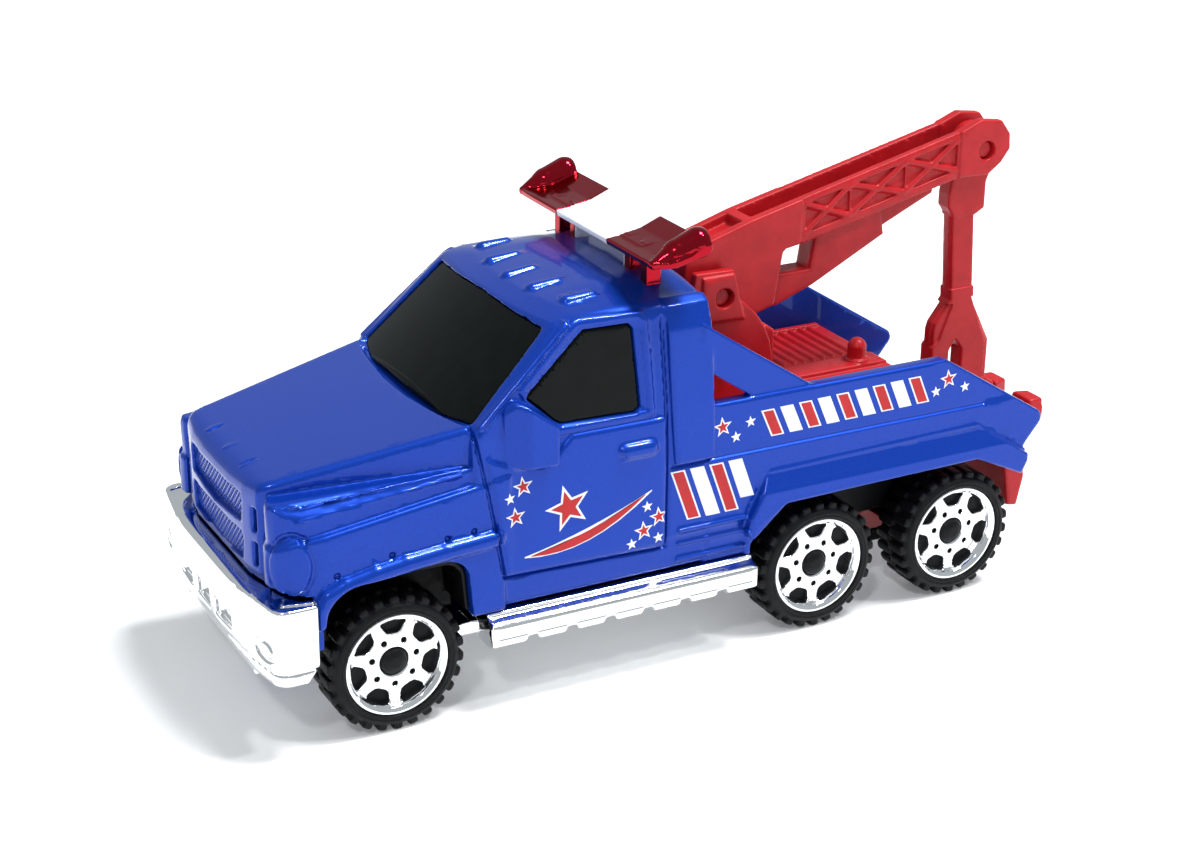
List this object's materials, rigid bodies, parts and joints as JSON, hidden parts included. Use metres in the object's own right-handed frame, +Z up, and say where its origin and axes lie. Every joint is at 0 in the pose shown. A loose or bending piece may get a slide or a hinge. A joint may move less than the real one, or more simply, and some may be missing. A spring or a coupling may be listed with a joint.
{
  "type": "toy tow truck",
  "caption": "Pocket-size die-cast toy tow truck with rolling wheels, a lifting boom, a swinging hook arm, a ribbed deck and a tow tongue.",
  "frame": {"origin": "middle of the footprint, on the ground plane", "axes": "+X forward along the truck, +Y to the driver's left, +Z up"},
  "size_m": [0.082, 0.0278, 0.0406],
  "materials": {
    "blue_paint": "metallic blue enamel, glossy clear coat",
    "plated": "bright vacuum plating over moulded plastic",
    "smoked_window": "near-black smoked clear plastic",
    "red_plastic": "moulded red plastic, satin gloss",
    "black_plastic": "moulded black plastic, slightly glossy",
    "axle_steel": "drawn steel wire"
  },
  "bodies": {
    "chassis": {"body_casting": "blue_paint", "baseplate": "plated", "window_insert": "smoked_window", "light_bar": "plated", "deck_insert": "red_plastic"},
    "boom": {"boom": "red_plastic"},
    "hook": {"hook_arm": "red_plastic"},
    "front_wheelset": {"front_axle": "axle_steel", "front_left_wheel": "black_plastic", "front_left_rim": "plated", "front_right_wheel": "black_plastic", "front_right_rim": "plated"},
    "middle_wheelset": {"middle_axle": "axle_steel", "middle_left_wheel": "black_plastic", "middle_left_rim": "plated", "middle_right_wheel": "black_plastic", "middle_right_rim": "plated"},
    "rear_wheelset": {"rear_axle": "axle_steel", "rear_left_wheel": "black_plastic", "rear_left_rim": "plated", "rear_right_wheel": "black_plastic", "rear_right_rim": "plated"}
  },
  "joints": [
    {"name": "front_axle_spin", "type": "hinge", "parent": "chassis", "child": "front_wheelset", "pos_m": [0.0293, 0, 0.0059], "axis": [0, 1, 0], "continuous": true},
    {"name": "middle_axle_spin", "type": "hinge", "parent": "chassis", "child": "middle_wheelset", "pos_m": [-0.0104, 0, 0.0059], "axis": [0, 1, 0], "continuous": true},
    {"name": "rear_axle_spin", "type": "hinge", "parent": "chassis", "child": "rear_wheelset", "pos_m": [-0.02505, 0, 0.0059], "axis": [0, 1, 0], "continuous": true},
    {"name": "boom_lift", "type": "hinge", "parent": "chassis", "child": "boom", "pos_m": [-0.0053, 0, 0.0285], "axis": [0, 1, 0], "range_deg": [0, 25]},
    {"name": "hook_swing", "type": "hinge", "parent": "boom", "child": "hook", "pos_m": [-0.0335, 0, 0.0377], "axis": [0, 1, 0], "range_deg": [-8, 60]}
  ]
}
